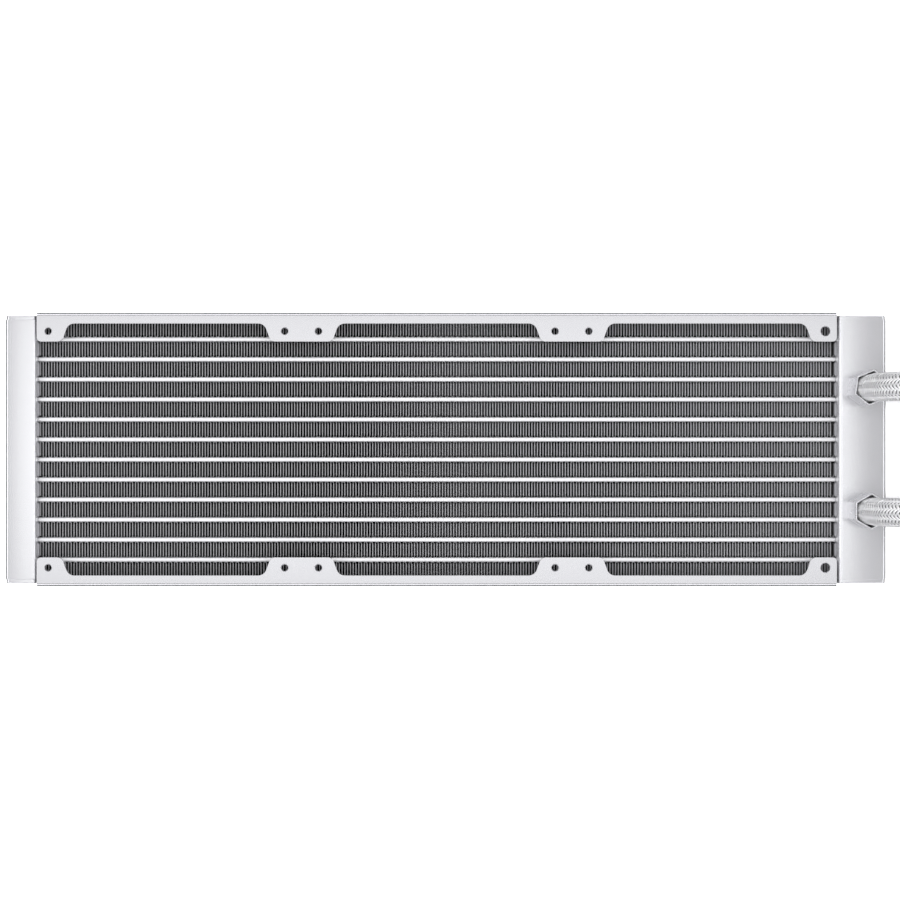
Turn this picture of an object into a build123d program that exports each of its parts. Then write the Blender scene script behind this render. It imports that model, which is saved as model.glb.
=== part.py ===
"""Liquid cooling radiator for a row of fans, with its two braided hoses and their pump fittings.

Millimetres. The radiator lies on its back flanges at z = 0 with its fan side up (+Z). X runs along
its length, with the tank that carries the ports at +X, and Y runs across it. The origin is the
middle of the radiator's own footprint, hoses left out.
"""
from build123d import *

import os
from math import hypot, pi, radians, tan

# ---------------------------------------------------------------- fan mounting (a known standard)
fan_size = 120.0
fan_count = 3
hole_margin = 7.5
screw_hole_radius = 1.45
port_end_hole_radius = 2.0
hole_chamfer = 0.35
collar_wall = 0.85
collar_depth = 1.6

# ---------------------------------------------------------------- side frames
radiator_depth = 27.0
frame_sheet = 1.2
frame_inner_radius = 0.3
frame_end_margin = 5.0
frame_edge_margin = 8.3
frame_end_gap = 0.25
rim_width = 4.9
tab_depth = 12.9
tab_side_margin = 7.8
tab_side_slope = 20.0
window_corner_radius = 3.8
tab_corner_radius = 2.7
tab_end_radius = 2.0

# ---------------------------------------------------------------- tanks, end caps and headers
tank_side_step = 1.3
tank_face_step = 1.0
tank_wall = 1.5
tank_bend_radius = 1.5
chamber_corner_radius = 0.6
port_tank_length = 21.9
port_shoulder_radius = 2.0
return_tank_length = 14.0
return_shoulder_radius = 1.4
mouth_lip = 2.0
cap_thickness = 1.8
cap_inset = 0.3
cap_edge_radius = 0.5
plug_depth = 1.0
baffle_thickness = 1.5
header_thickness = 1.5
header_crest = 0.6
header_margin = 1.05
valley_half_width = 0.5
crest_run = 0.7
braze_gap = 0.05

# ---------------------------------------------------------------- core: tubes, fins, side plates
tube_count = 12
core_recess = 4.5
tube_thickness = 1.8
tube_wall = 0.35
tube_web = 0.4
tube_overhang = 2.0
fin_sheet = 0.12
fin_leaf_pitch = 1.245
fin_end_gap = 0.1
side_plate_height = 2.3
side_plate_sheet = 0.8
side_plate_gap = 0.05

# ---------------------------------------------------------------- ports, ferrules and hoses
port_spacing = 54.0
port_end_distance = 10.0
nipple_bore_radius = 2.8
nipple_neck_wall = 1.45
nipple_tail_wall = 0.3
nipple_tail_length = 14.0
nipple_foot = 1.0
barb_height = 0.35
barb_length = 2.0
barb_count = 3
ferrule_height = 15.0
ferrule_wall = 0.6
ferrule_base = 1.0
ferrule_inner_radius = 0.3
crimp_gap = 0.1
collar_gap = 0.7
ferrule_turn_upper = -8.0
ferrule_turn_lower = 0.0
hose_seat = 7.0
hose_radius = 6.2
sleeve_thickness = 0.7
liner_gap = 0.05
bench_gap = 0.05

# ---------------------------------------------------------------- pump-end fittings
elbow_radius = 5.2
elbow_inner_bend = 0.8
elbow_straight = 3.0
stem_flange_step = 1.0
stem_flange_length = 1.6
stem_step = 0.6
stem_length = 9.0
ring_groove_depth = 1.0
ring_groove_width = 1.5
ring_offsets = (2.4, 5.6)
ring_radius = 0.65
ring_gap = 0.02

arc_share = 0.45

# ---------------------------------------------------------------- worked out from the sizes above
hole_spacing = fan_size - 2 * hole_margin
fan_gap = 2 * hole_margin
frame_length = fan_count * fan_size - fan_gap + 2 * frame_end_margin
frame_height = hole_spacing + 2 * frame_edge_margin
core_length = frame_length + 2 * frame_end_gap
core_x = (return_tank_length - port_tank_length) / 2
port_mouth_x = core_x + core_length / 2
return_mouth_x = core_x - core_length / 2
middle_z = radiator_depth / 2
frame_bend_radius = frame_sheet + frame_inner_radius
tank_width = frame_height - 2 * tank_side_step
tank_depth = radiator_depth - 2 * tank_face_step
tube_width = radiator_depth - 2 * core_recess
tank_front_z = middle_z + tank_depth / 2
tank_half_width = tank_width / 2 - cap_thickness
chamber_depth = tank_depth - 2 * tank_wall
header_height = tube_width + 2 * header_margin
mouth_height = header_height + 2 * braze_gap
fan_centres = [core_x + (i - (fan_count - 1) / 2) * fan_size for i in range(fan_count)]
hole_xs = [x + side * hole_spacing / 2 for x in fan_centres for side in (-1, 1)]
hole_y = hole_spacing / 2

# The core fills the space between the two frame webs, less a side plate at each side.
core_half_height = frame_height / 2 - frame_sheet - side_plate_gap - side_plate_height
tube_pitch = (2 * core_half_height + tube_thickness) / (tube_count + 1)
fin_height = tube_pitch - tube_thickness
tube_ys = [(i - (tube_count - 1) / 2) * tube_pitch for i in range(tube_count)]
fin_ys = [(i - tube_count / 2) * tube_pitch for i in range(tube_count + 1)]
core_end_x = core_length / 2 - header_crest
fin_length = 2 * (core_end_x - fin_end_gap)
fin_leaf_count = round(fin_length / fin_leaf_pitch)
fin_step = fin_length / fin_leaf_count
fold_thickness = fin_sheet * hypot(fin_step, fin_height) / fin_step

port_x = port_mouth_x + port_tank_length - port_end_distance
port_y = port_spacing / 2
nipple_neck_radius = nipple_bore_radius + nipple_neck_wall
nipple_tail_radius = nipple_bore_radius + nipple_tail_wall
nipple_collar_radius = hose_radius + crimp_gap - collar_gap
port_hole_radius = nipple_neck_radius + braze_gap
liner_bore_radius = nipple_tail_radius + barb_height + liner_gap
ferrule_flats = 2 * (hose_radius + crimp_gap + ferrule_wall)
ferrule_corner_radius = ferrule_wall + ferrule_inner_radius
elbow_bend_radius = elbow_radius + elbow_inner_bend
elbow_reach = elbow_bend_radius + elbow_straight
stem_flange_radius = elbow_radius + stem_flange_step
stem_radius = elbow_radius - stem_step
ring_groove_radius = stem_radius - ring_groove_depth
lying_z = hose_radius + 2 * bench_gap
fitting_z = ferrule_flats / 2 + bench_gap

# Hand-set hose routes, after the hose's seat in its ferrule: points from the port's axis along X,
# across Y, and height over the bench. Each hose leaves its ferrule upwards, arches over and comes
# down to lie on the bench.
route_upper = [
    (0, 0, 50),
    (5.5, -0.6, 76),
    (26, 0, 106),
    (61, 3, 124),
    (101, 6, 122),
    (135, 8, 98),
    (160, 9, 64),
    (187, 9, 32),
    (222, 7, 11),
    (262, 4, lying_z),
    (300, 1.5, fitting_z),
    (331, 0.5, fitting_z),
]
route_lower = [
    (0, 0, 50),
    (5.8, 0.6, 75.5),
    (27, -0.3, 105),
    (62, -4, 121),
    (101, -8, 117),
    (134, -9.5, 92),
    (159, -10, 58),
    (187, -9, 27),
    (224, -7, 9.5),
    (264, -5, lying_z),
    (302, -4.5, fitting_z),
    (335, -5, fitting_z),
]

os.makedirs("parts", exist_ok=True)


def write(piece, node):
    """Label a finished piece and write it as its own STEP file."""
    piece.part.label = node
    export_step(piece.part, f"parts/{node}.step")


# ---------------------------------------------------------------- tanks
def make_tank(node, mouth_x, outward, length, shoulder_radius, with_ports):
    """A folded tank: two faces and an end wall, open at the mouth and at both short ends."""
    outer_x = mouth_x + outward * length
    chamber_start = mouth_x + outward * mouth_lip
    chamber_end = outer_x - outward * tank_wall
    with BuildPart() as tank:
        with BuildSketch(Plane.XZ) as profile:
            with Locations(((mouth_x + outer_x) / 2, middle_z)):
                Rectangle(length, tank_depth)
            fillet(profile.vertices().group_by(Axis.X)[0 if outward > 0 else -1], shoulder_radius)
            fillet(profile.vertices().group_by(Axis.X)[-1 if outward > 0 else 0], tank_bend_radius)
            with Locations(((chamber_start + chamber_end) / 2, middle_z)):
                RectangleRounded(
                    abs(chamber_end - chamber_start),
                    chamber_depth,
                    chamber_corner_radius,
                    mode=Mode.SUBTRACT,
                )
            with Locations(((mouth_x + chamber_start) / 2, middle_z)):
                Rectangle(mouth_lip, mouth_height, mode=Mode.SUBTRACT)
        extrude(amount=tank_half_width, both=True)
        if with_ports:
            with BuildSketch(Plane.XY.offset(tank_front_z)):
                with Locations((port_x, port_y), (port_x, -port_y)):
                    Circle(port_hole_radius)
            extrude(amount=-2 * tank_wall, mode=Mode.SUBTRACT)
    write(tank, node)


make_tank("port_tank", port_mouth_x, 1, port_tank_length, port_shoulder_radius, True)
make_tank("return_tank", return_mouth_x, -1, return_tank_length, return_shoulder_radius, False)


def make_end_cap(node, mouth_x, outward, length, side):
    """A cap that closes one short end of a tank, with a plug that enters the chamber."""
    outer_x = mouth_x + outward * length
    plug_start = mouth_x + outward * (mouth_lip + braze_gap)
    plug_end = outer_x - outward * (tank_wall + braze_gap)
    seat = Plane(origin=(0, side * tank_half_width, middle_z), x_dir=(1, 0, 0), z_dir=(0, side, 0))
    with BuildPart() as cap:
        with BuildSketch(seat):
            with Locations(((mouth_x + outer_x) / 2, 0)):
                RectangleRounded(length - 2 * cap_inset, tank_depth - 2 * cap_inset, tank_bend_radius)
        extrude(amount=cap_thickness)
        fillet(cap.faces().sort_by(Axis.Y)[-1 if side > 0 else 0].edges(), cap_edge_radius)
        with BuildSketch(seat):
            with Locations(((plug_start + plug_end) / 2, 0)):
                RectangleRounded(
                    abs(plug_end - plug_start),
                    chamber_depth - 2 * braze_gap,
                    chamber_corner_radius,
                )
        extrude(amount=-plug_depth)
    write(cap, node)


for tank_name, mouth, way, size in (
    ("port_tank", port_mouth_x, 1, port_tank_length),
    ("return_tank", return_mouth_x, -1, return_tank_length),
):
    make_end_cap(f"{tank_name}_cap_upper", mouth, way, size, 1)
    make_end_cap(f"{tank_name}_cap_lower", mouth, way, size, -1)

# The baffle parts the port tank into an inlet half and an outlet half.
baffle_start = port_mouth_x + header_thickness - header_crest + tube_overhang + braze_gap
baffle_end = port_mouth_x + port_tank_length - tank_wall
with BuildPart() as baffle:
    with BuildSketch(Plane.XZ):
        with Locations(((baffle_start + baffle_end) / 2, middle_z)):
            RectangleRounded(baffle_end - baffle_start, chamber_depth, chamber_corner_radius)
    extrude(amount=baffle_thickness / 2, both=True)
write(baffle, "port_tank_baffle")


def make_header(node, mouth_x, outward):
    """The slotted plate in a tank's mouth. It bulges towards the fins between the tubes."""
    crest_x = mouth_x - outward * header_crest
    inner_x = crest_x + outward * header_thickness
    outline = [(crest_x, -tank_half_width)]
    for y in tube_ys:
        valley = tube_thickness / 2 + valley_half_width
        outline += [
            (crest_x, y - valley - crest_run),
            (mouth_x, y - valley),
            (mouth_x, y + valley),
            (crest_x, y + valley + crest_run),
        ]
    outline += [(crest_x, tank_half_width), (inner_x, tank_half_width), (inner_x, -tank_half_width)]
    with BuildPart() as header:
        with BuildSketch(Plane.XY.offset(middle_z)):
            with BuildLine():
                Polyline(*outline, close=True)
            make_face()
        extrude(amount=header_height / 2, both=True)
        with BuildSketch(Plane.YZ.offset(mouth_x)):
            with Locations(*[(y, middle_z) for y in tube_ys]):
                SlotOverall(
                    tube_width + 2 * braze_gap, tube_thickness + 2 * braze_gap, rotation=90
                )
        extrude(amount=2 * header_thickness, both=True, mode=Mode.SUBTRACT)
    write(header, node)


make_header("port_header", port_mouth_x, 1)
make_header("return_header", return_mouth_x, -1)

# ---------------------------------------------------------------- core
tube_reach = core_length / 2 + header_thickness - header_crest + tube_overhang
channel_width = (tube_width - 2 * tube_wall - tube_web) / 2
for number, y in enumerate(tube_ys, start=1):
    with BuildPart() as tube:
        with BuildSketch(Plane.YZ.offset(core_x)):
            with Locations((y, middle_z)):
                SlotOverall(tube_width, tube_thickness, rotation=90)
            with Locations(*[(y, middle_z + s * (channel_width + tube_web) / 2) for s in (-1, 1)]):
                SlotOverall(
                    channel_width,
                    tube_thickness - 2 * tube_wall,
                    rotation=90,
                    mode=Mode.SUBTRACT,
                )
        extrude(amount=tube_reach, both=True)
    write(tube, f"flat_tube_{number:02d}")


def fin_outline(y):
    """The corners of one folded fin strip, which zigzags between the faces on either side of it."""
    top = y + fin_height / 2
    bottom = y - fin_height / 2
    upper = []
    lower = []
    for fold in range(fin_leaf_count + 1):
        x = core_x - fin_length / 2 + fold * fin_step
        if fold % 2 == 0:
            upper.append((x, bottom + fold_thickness))
            lower.append((x, bottom))
        else:
            upper.append((x, top))
            lower.append((x, top - fold_thickness))
    return upper + lower[::-1]


for number, y in enumerate(fin_ys, start=1):
    with BuildPart() as fin:
        with BuildSketch(Plane.XY.offset(middle_z - tube_width / 2)):
            with BuildLine():
                Polyline(*fin_outline(y), close=True)
            make_face()
        extrude(amount=tube_width)
    write(fin, f"fin_strip_{number:02d}")

for node, side in (("core_side_plate_upper", 1), ("core_side_plate_lower", -1)):
    plate_y = side * (core_half_height + side_plate_height / 2)
    with BuildPart() as side_plate:
        with BuildSketch(Plane.YZ.offset(core_x)):
            with Locations((plate_y, middle_z)):
                Rectangle(side_plate_height, tube_width)
            with Locations((plate_y + side * side_plate_sheet, middle_z)):
                Rectangle(
                    side_plate_height, tube_width - 2 * side_plate_sheet, mode=Mode.SUBTRACT
                )
        extrude(amount=core_end_x, both=True)
    write(side_plate, node)


# ---------------------------------------------------------------- side frames
def tab_outline(inner_x, outer_x, slope_in, slope_out):
    """A tab's corners as (x, depth from the frame's edge). A side with no slope is the frame's end."""
    lean = tan(radians(tab_side_slope))
    rise = lean * (frame_edge_margin - rim_width)
    fall = lean * (tab_depth - frame_edge_margin)
    return [
        (inner_x - slope_in * rise, rim_width),
        (inner_x + slope_in * fall, tab_depth),
        (outer_x - slope_out * fall, tab_depth),
        (outer_x + slope_out * rise, rim_width),
    ]


def flange_outline():
    """The flange's corners from end to end: a plain rim, with a tab around each pair of holes."""
    left = core_x - frame_length / 2
    right = core_x + frame_length / 2
    points = [(left, 0)]
    points += tab_outline(left, hole_xs[0] + tab_side_margin, 0, 1)[1:]
    for i in range(1, fan_count):
        before = hole_xs[2 * i - 1] - tab_side_margin
        after = hole_xs[2 * i] + tab_side_margin
        points += tab_outline(before, after, 1, 1)
    points += tab_outline(hole_xs[-1] - tab_side_margin, right, 1, 0)[:3]
    points.append((right, 0))
    return points


def corners_at(sketch, edge_y, depth):
    """A flange sketch's corners at one depth from the frame's edge, from -X to +X."""
    found = sketch.vertices().filter_by(lambda v: abs(abs(v.Y - edge_y) - depth) < 1e-6)
    return found.sort_by(Axis.X)


def make_side_frame(node, side):
    """A channel along one long side: a web, and flanges with screw tabs at the front and back."""
    edge_y = side * frame_height / 2
    with BuildPart() as frame:
        with BuildSketch(Plane.YZ.offset(core_x)) as section:
            with Locations((edge_y - side * tab_depth / 2, middle_z)):
                Rectangle(tab_depth, radiator_depth)
            fillet(section.vertices().group_by(Axis.X)[-1 if side > 0 else 0], frame_bend_radius)
            with Locations((edge_y - side * (frame_sheet + tab_depth), middle_z)):
                RectangleRounded(
                    2 * tab_depth,
                    radiator_depth - 2 * frame_sheet,
                    frame_bend_radius - frame_sheet,
                    mode=Mode.SUBTRACT,
                )
        extrude(amount=frame_length / 2, both=True)
        with BuildSketch() as flange:
            with BuildLine():
                Polyline(*[(x, edge_y - side * depth) for x, depth in flange_outline()], close=True)
            make_face()
            fillet(corners_at(flange, edge_y, rim_width), window_corner_radius)
            fillet(corners_at(flange, edge_y, tab_depth)[1:-1], tab_corner_radius)
            fillet(corners_at(flange, edge_y, tab_depth)[0], tab_end_radius)
            fillet(corners_at(flange, edge_y, tab_depth)[-1], tab_end_radius)
        extrude(amount=radiator_depth, mode=Mode.INTERSECT)
        for face_z, inward in ((radiator_depth, -1), (0, 1)):
            for radius, xs in ((screw_hole_radius, hole_xs[:-1]), (port_end_hole_radius, hole_xs[-1:])):
                places = [(x, side * hole_y) for x in xs]
                with BuildSketch(Plane.XY.offset(face_z + inward * frame_sheet)):
                    with Locations(*places):
                        Circle(radius + collar_wall)
                extrude(amount=inward * collar_depth)
                with BuildSketch(Plane.XY.offset(face_z)):
                    with Locations(*places):
                        Circle(radius)
                extrude(amount=inward * (frame_sheet + collar_depth), mode=Mode.SUBTRACT)
            face_edges = frame.edges().filter_by(lambda e: abs(e.center().Z - face_z) < 1e-6)
            hole_edges = face_edges.filter_by(GeomType.CIRCLE).filter_by(lambda e: e.is_closed)
            chamfer(hole_edges, hole_chamfer)
    write(frame, node)


make_side_frame("side_frame_upper", 1)
make_side_frame("side_frame_lower", -1)


# ---------------------------------------------------------------- ferrules and port nipples
def half_plane(seat):
    """The plane of a half-section about a seat's axis: x is the radius, y the height over it."""
    return Plane(origin=seat.origin, x_dir=seat.x_dir, z_dir=seat.y_dir * -1)


def stub_corners(foot):
    """A hose stub's half-section: its neck through the ferrule's base, its collar and barbed tail."""
    collar_foot = ferrule_base + braze_gap
    tail_foot = hose_seat - braze_gap
    first_barb = hose_seat + nipple_tail_length - barb_count * barb_length
    corners = [
        (nipple_bore_radius, -foot),
        (nipple_neck_radius, -foot),
        (nipple_neck_radius, collar_foot),
        (nipple_collar_radius, collar_foot),
        (nipple_collar_radius, tail_foot),
        (nipple_tail_radius, tail_foot),
    ]
    for i in range(barb_count):
        barb_foot = first_barb + i * barb_length
        corners.append((nipple_tail_radius, barb_foot))
        corners.append((nipple_tail_radius + barb_height, barb_foot))
    corners.append((nipple_tail_radius, hose_seat + nipple_tail_length))
    corners.append((nipple_bore_radius, hose_seat + nipple_tail_length))
    return corners


def make_ferrule(node, seat):
    """A hex ferrule: a thin-walled cup that grips the hose on its stub, with a hole in its base."""
    with BuildPart() as ferrule:
        with BuildSketch(seat) as outside:
            RegularPolygon(ferrule_flats / 2, 6, major_radius=False, rotation=30)
            fillet(outside.vertices(), ferrule_corner_radius)
        extrude(amount=ferrule_height)
        with BuildSketch(seat.offset(ferrule_base)) as inside:
            RegularPolygon(ferrule_flats / 2 - ferrule_wall, 6, major_radius=False, rotation=30)
            fillet(inside.vertices(), ferrule_corner_radius - ferrule_wall)
        extrude(amount=ferrule_height - ferrule_base, mode=Mode.SUBTRACT)
        with BuildSketch(seat):
            Circle(port_hole_radius)
        extrude(amount=ferrule_base, mode=Mode.SUBTRACT)
    write(ferrule, node)


def make_nipple(node, seat):
    """A barbed port stub, brazed through the tank's front wall."""
    with BuildPart() as nipple:
        with BuildSketch(half_plane(seat)):
            with BuildLine():
                Polyline(*stub_corners(tank_wall + nipple_foot), close=True)
            make_face()
        revolve(axis=Axis(seat.origin, seat.z_dir))
    write(nipple, node)


# ---------------------------------------------------------------- hoses
def hose_corners(points, y):
    """The corners of a hose's route in the radiator's own frame, from its seat in the ferrule."""
    seat = Vector(port_x, y, tank_front_z + hose_seat)
    return [seat] + [Vector(port_x + dx, y + dy, z) for dx, dy, z in points]


def hose_radii(corners):
    """The largest arc that the shorter run at each corner allows."""
    radii = []
    for before, corner, after in zip(corners, corners[1:], corners[2:]):
        turn = (corner - before).get_angle(after - corner)
        run = min((corner - before).length, (after - corner).length)
        radii.append(arc_share * run / tan(radians(turn) / 2))
    return radii


def make_hose(side_name, corners):
    """A rubber liner inside a braided sleeve, both swept along one route of runs and arcs."""
    radii = hose_radii(corners)
    with BuildLine() as route:
        FilletPolyline(*corners, radius=radii)
    path = route.wire()
    start = Plane(origin=path @ 0, x_dir=(1, 0, 0), z_dir=path % 0)
    print(f"hose {side_name}: {path.length:.1f} long, arc radii {[round(r) for r in radii]}")
    sleeve_bore = hose_radius - sleeve_thickness
    for layer_name, outer, inner in (
        ("liner", sleeve_bore - liner_gap, liner_bore_radius),
        ("sleeve", hose_radius, sleeve_bore),
    ):
        with BuildPart() as layer:
            with BuildSketch(start):
                Circle(outer)
                Circle(inner, mode=Mode.SUBTRACT)
            sweep(path=path)
        ideal = pi * (outer**2 - inner**2) * path.length
        print(f"  {layer_name}: volume over section times length {layer.part.volume / ideal:.4f}")
        write(layer, f"hose_{layer_name}_{side_name}")


# ---------------------------------------------------------------- pump-end fittings
def make_pump_elbow(side_name, seat, across):
    """The swivel elbow that plugs into the pump: a hose stub, a knee and a stem with ring grooves."""
    along = seat.z_dir * -1
    base = seat.origin
    knee = base + along * elbow_reach
    stem_root = knee + across * elbow_reach
    stem = Plane(origin=stem_root, x_dir=along, z_dir=across)
    stem_corners = [(0, 0), (stem_flange_radius, 0), (stem_flange_radius, stem_flange_length)]
    stem_corners.append((stem_radius, stem_flange_length))
    for offset in ring_offsets:
        low = stem_flange_length + offset - ring_groove_width / 2
        high = low + ring_groove_width
        stem_corners += [(stem_radius, low), (ring_groove_radius, low)]
        stem_corners += [(ring_groove_radius, high), (stem_radius, high)]
    stem_end = stem_flange_length + stem_length
    stem_corners += [(stem_radius, stem_end), (0, stem_end)]
    with BuildPart() as elbow:
        with BuildSketch(half_plane(seat)):
            with BuildLine():
                Polyline(*stub_corners(0), close=True)
            make_face()
        revolve(axis=Axis(seat.origin, seat.z_dir))
        with BuildLine() as knee_line:
            FilletPolyline(base, knee, stem_root, radius=elbow_bend_radius)
        with BuildSketch(Plane(origin=base, x_dir=across, z_dir=along)):
            Circle(elbow_radius)
        sweep(path=knee_line.wire())
        with BuildSketch(half_plane(stem)):
            with BuildLine():
                Polyline(*stem_corners, close=True)
            make_face()
        revolve(axis=Axis(stem.origin, stem.z_dir))
        with BuildLine() as bore_line:
            FilletPolyline(base, knee, stem_root + across * stem_end, radius=elbow_bend_radius)
        with BuildSketch(Plane(origin=base, x_dir=across, z_dir=along)):
            Circle(nipple_bore_radius)
        sweep(path=bore_line.wire(), mode=Mode.SUBTRACT)
    write(elbow, f"pump_elbow_{side_name}")

    with BuildPart() as rings:
        with BuildSketch(half_plane(stem)):
            for offset in ring_offsets:
                ring_centre = ring_groove_radius + ring_radius + ring_gap
                with Locations((ring_centre, stem_flange_length + offset)):
                    Circle(ring_radius)
        revolve(axis=Axis(stem.origin, stem.z_dir))
    write(rings, f"seal_rings_{side_name}")


for side_name, side, points, turn in (
    ("upper", 1, route_upper, ferrule_turn_upper),
    ("lower", -1, route_lower, ferrule_turn_lower),
):
    port = Plane(origin=(port_x, side * port_y, tank_front_z), x_dir=(1, 0, 0), z_dir=(0, 0, 1))
    make_nipple(f"port_nipple_{side_name}", port)
    make_ferrule(f"hex_ferrule_{side_name}", port.rotated((0, 0, turn)))
    corners = hose_corners(points, side * port_y)
    make_hose(side_name, corners)
    along = (corners[-1] - corners[-2]).normalized()
    across = Vector(-along.Y, along.X, 0).normalized() * side
    pump_seat = Plane(origin=corners[-1] + along * hose_seat, x_dir=(0, 0, 1), z_dir=along * -1)
    make_ferrule(f"pump_ferrule_{side_name}", pump_seat)
    make_pump_elbow(side_name, pump_seat, across)
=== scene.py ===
"""The looks of a liquid cooling radiator: its finishes, fins, braided hoses, light and camera.

Everything is in metres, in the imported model's own frame: X runs along the radiator towards the tank
with the ports, Y runs across it, and Z is up, out of its fan side.
"""
import logging
import math
from dataclasses import dataclass, replace
from enum import Enum
from typing import ClassVar

import bmesh
import bpy
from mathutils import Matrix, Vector


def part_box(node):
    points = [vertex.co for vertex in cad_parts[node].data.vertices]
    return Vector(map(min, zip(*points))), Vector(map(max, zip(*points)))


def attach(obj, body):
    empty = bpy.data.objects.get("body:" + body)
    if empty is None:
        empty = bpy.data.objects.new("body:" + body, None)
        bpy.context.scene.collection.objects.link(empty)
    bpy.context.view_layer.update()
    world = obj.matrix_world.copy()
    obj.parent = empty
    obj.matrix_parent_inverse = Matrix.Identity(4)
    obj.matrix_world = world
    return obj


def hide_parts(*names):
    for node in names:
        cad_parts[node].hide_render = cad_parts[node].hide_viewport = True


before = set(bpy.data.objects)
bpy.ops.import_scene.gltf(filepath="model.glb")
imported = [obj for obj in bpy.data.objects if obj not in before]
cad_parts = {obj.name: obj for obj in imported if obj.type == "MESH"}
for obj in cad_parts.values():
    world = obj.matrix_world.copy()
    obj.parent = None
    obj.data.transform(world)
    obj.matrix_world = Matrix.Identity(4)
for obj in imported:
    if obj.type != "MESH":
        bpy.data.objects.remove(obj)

MM = 0.001
ROOT_BODY = "root"
log = logging.getLogger("radiator")

Socket = bpy.types.NodeSocket
Inputs = bpy.types.bpy_prop_collection
Triple = tuple[float, float, float]


class Side(Enum):
    """The two long sides of the radiator, and what is mounted towards each."""

    UPPER = "upper"
    LOWER = "lower"


# ---- node trees
class Wiring:
    """Shorthand for building a node tree, for a material, the world or Geometry Nodes."""

    def __init__(self, tree: bpy.types.NodeTree) -> None:
        """Keep the tree that the nodes go into."""
        self.tree = tree

    def node(self, kind: str, inputs: dict | None = None, **settings: object) -> bpy.types.Node:
        """Add a node.

        Args:
            kind: The node's type name.
            inputs: What goes into its sockets, by name or number: a value, or a socket to link from.
            settings: The node's own properties.

        Returns:
            The new node.
        """
        made = self.tree.nodes.new(kind)
        for name, value in settings.items():
            setattr(made, name, value)
        for key, value in (inputs or {}).items():
            self.feed(made.inputs[key], value)
        return made

    def feed(self, socket: Socket, value: object) -> None:
        """Link a socket from another one, or set its own value.

        Args:
            socket: The input socket.
            value: What it gets: a value, or a socket to link from.
        """
        if isinstance(value, Socket):
            self.tree.links.new(value, socket)
        else:
            socket.default_value = value

    def math(self, operation: str, *values: object) -> Socket:
        """Add a math node on values or sockets, and return its result."""
        return self.node("ShaderNodeMath", dict(enumerate(values)), operation=operation).outputs[0]

    def vector_math(self, operation: str, *values: object) -> Socket:
        """Add a vector math node on vectors or sockets, and return its vector."""
        made = self.node("ShaderNodeVectorMath", dict(enumerate(values)), operation=operation)
        return made.outputs["Vector"]

    def scaled(self, vector: object, factor: object) -> Socket:
        """Return a vector times a number."""
        made = self.node("ShaderNodeVectorMath", {"Vector": vector, "Scale": factor}, operation="SCALE")
        return made.outputs["Vector"]


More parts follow.
